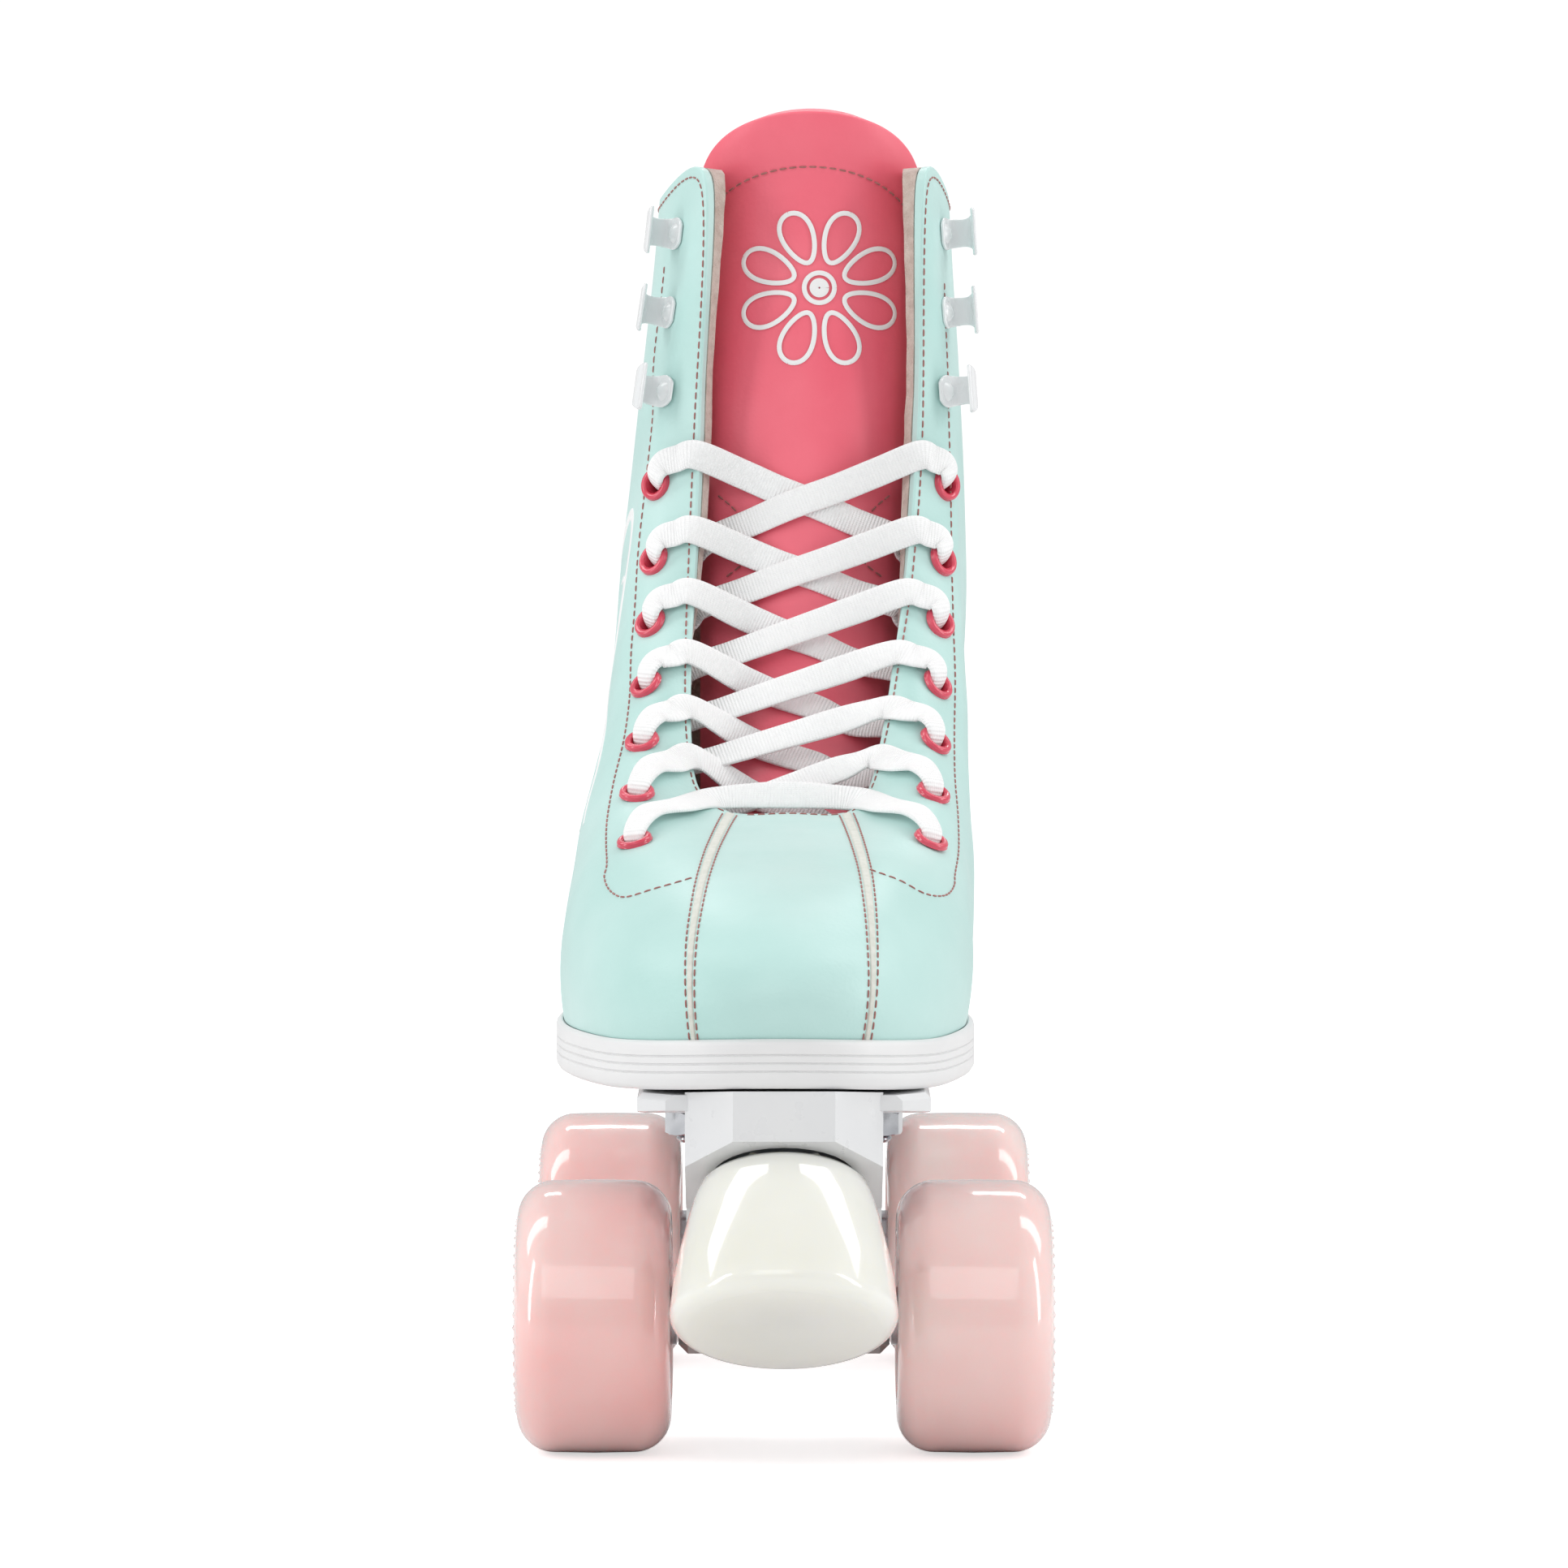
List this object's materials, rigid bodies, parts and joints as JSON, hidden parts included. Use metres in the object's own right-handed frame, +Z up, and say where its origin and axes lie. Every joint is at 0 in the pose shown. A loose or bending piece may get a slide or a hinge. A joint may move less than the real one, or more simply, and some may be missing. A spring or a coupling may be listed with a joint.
{
  "type": "quad roller skate",
  "caption": "Right-foot quad roller skate: lace-up high-top boot on a moulded plate, sprung steering trucks with pairs of soft wheels, and a cone toe stop.",
  "frame": {"origin": "on the floor, under the middle of the skate's bounding box", "axes": "+Z up, -Y toward the toe, +X toward the inner side of the right foot"},
  "size_m": [0.1144, 0.2708, 0.2915],
  "materials": {
    "boot_leather": "mint synthetic leather, semi-matt, fine grain",
    "tongue_leather": "coral synthetic leather, semi-matt",
    "lining_fabric": "brushed beige lining",
    "footbed_foam": "cloth-covered foam",
    "stiffener_board": "pressed fibre board",
    "sole_white": "white moulded sole, satin",
    "plate_white": "white moulded nylon",
    "wheel_pink": "glossy pale pink urethane, slightly translucent",
    "hub_white": "off-white moulded core",
    "stop_rubber": "glossy off-white urethane",
    "truck_aluminium": "cast and tumbled",
    "zinc_steel": "bright zinc",
    "bearing_steel": "ground bearing steel",
    "cushion_urethane": "pink urethane, matt",
    "cup_rubber": "black moulded rubber",
    "eyelet_coral": "coral lacquer, glossy",
    "hook_white": "white lacquer, glossy",
    "lace_white": "flat woven white lace"
  },
  "bodies": {
    "skate": {"toe_panel": "boot_leather", "quarter_lateral": "boot_leather", "quarter_medial": "boot_leather", "heel_counter": "stiffener_board", "lining": "lining_fabric", "tongue": "tongue_leather", "footbed": "footbed_foam", "outsole": "sole_white", "heel_block": "sole_white", "eyelet_row_lateral": "eyelet_coral", "lace_hook_lateral_1": "hook_white", "lace_hook_lateral_2": "hook_white", "lace_hook_lateral_3": "hook_white", "eyelet_row_medial": "eyelet_coral", "lace_hook_medial_1": "hook_white", "lace_hook_medial_2": "hook_white", "lace_hook_medial_3": "hook_white", "lace": "lace_white", "plate": "plate_white", "toe_stop": "stop_rubber", "toe_stop_stem": "zinc_steel", "toe_stop_nut": "zinc_steel", "plate_bolt_front_lateral": "zinc_steel", "plate_bolt_front_medial": "zinc_steel", "front_kingpin": "zinc_steel", "front_cushion_washer": "zinc_steel", "front_pivot_cup": "cup_rubber", "front_upper_cushion": "cushion_urethane", "front_lower_cushion": "cushion_urethane", "plate_bolt_rear_lateral": "zinc_steel", "plate_bolt_rear_medial": "zinc_steel", "rear_kingpin": "zinc_steel", "rear_cushion_washer": "zinc_steel", "rear_pivot_cup": "cup_rubber", "rear_upper_cushion": "cushion_urethane", "rear_lower_cushion": "cushion_urethane"},
    "front_truck": {"front_hanger": "truck_aluminium", "front_axle": "zinc_steel", "front_lateral_axle_nut": "zinc_steel", "front_medial_axle_nut": "zinc_steel"},
    "rear_truck": {"rear_hanger": "truck_aluminium", "rear_axle": "zinc_steel", "rear_lateral_axle_nut": "zinc_steel", "rear_medial_axle_nut": "zinc_steel"},
    "front_lateral_wheel": {"front_lateral_tyre": "wheel_pink", "front_lateral_hub": "hub_white", "front_lateral_outer_bearing": "bearing_steel", "front_lateral_inner_bearing": "bearing_steel"},
    "front_medial_wheel": {"front_medial_tyre": "wheel_pink", "front_medial_hub": "hub_white", "front_medial_outer_bearing": "bearing_steel", "front_medial_inner_bearing": "bearing_steel"},
    "rear_lateral_wheel": {"rear_lateral_tyre": "wheel_pink", "rear_lateral_hub": "hub_white", "rear_lateral_outer_bearing": "bearing_steel", "rear_lateral_inner_bearing": "bearing_steel"},
    "rear_medial_wheel": {"rear_medial_tyre": "wheel_pink", "rear_medial_hub": "hub_white", "rear_medial_outer_bearing": "bearing_steel", "rear_medial_inner_bearing": "bearing_steel"}
  },
  "joints": [
    {"name": "front_truck_steer", "type": "hinge", "parent": "skate", "child": "front_truck", "pos_m": [0, -0.03061, 0.0415], "axis": [0, -0.9511, 0.309], "range_deg": [-8, 8], "stiffness_Nm_per_rad": 12, "deforming": ["front_upper_cushion", "front_lower_cushion"]},
    {"name": "rear_truck_steer", "type": "hinge", "parent": "skate", "child": "rear_truck", "pos_m": [0, 0.07339, 0.0415], "axis": [0, 0.9511, 0.309], "range_deg": [-8, 8], "stiffness_Nm_per_rad": 12, "deforming": ["rear_upper_cushion", "rear_lower_cushion"]},
    {"name": "front_lateral_wheel_spin", "type": "hinge", "parent": "front_truck", "child": "front_lateral_wheel", "pos_m": [-0.0405, -0.05461, 0.029], "axis": [1, 0, 0], "continuous": true},
    {"name": "front_medial_wheel_spin", "type": "hinge", "parent": "front_truck", "child": "front_medial_wheel", "pos_m": [0.0405, -0.05461, 0.029], "axis": [1, 0, 0], "continuous": true},
    {"name": "rear_lateral_wheel_spin", "type": "hinge", "parent": "rear_truck", "child": "rear_lateral_wheel", "pos_m": [-0.0405, 0.09738, 0.029], "axis": [1, 0, 0], "continuous": true},
    {"name": "rear_medial_wheel_spin", "type": "hinge", "parent": "rear_truck", "child": "rear_medial_wheel", "pos_m": [0.0405, 0.09738, 0.029], "axis": [1, 0, 0], "continuous": true}
  ]
}
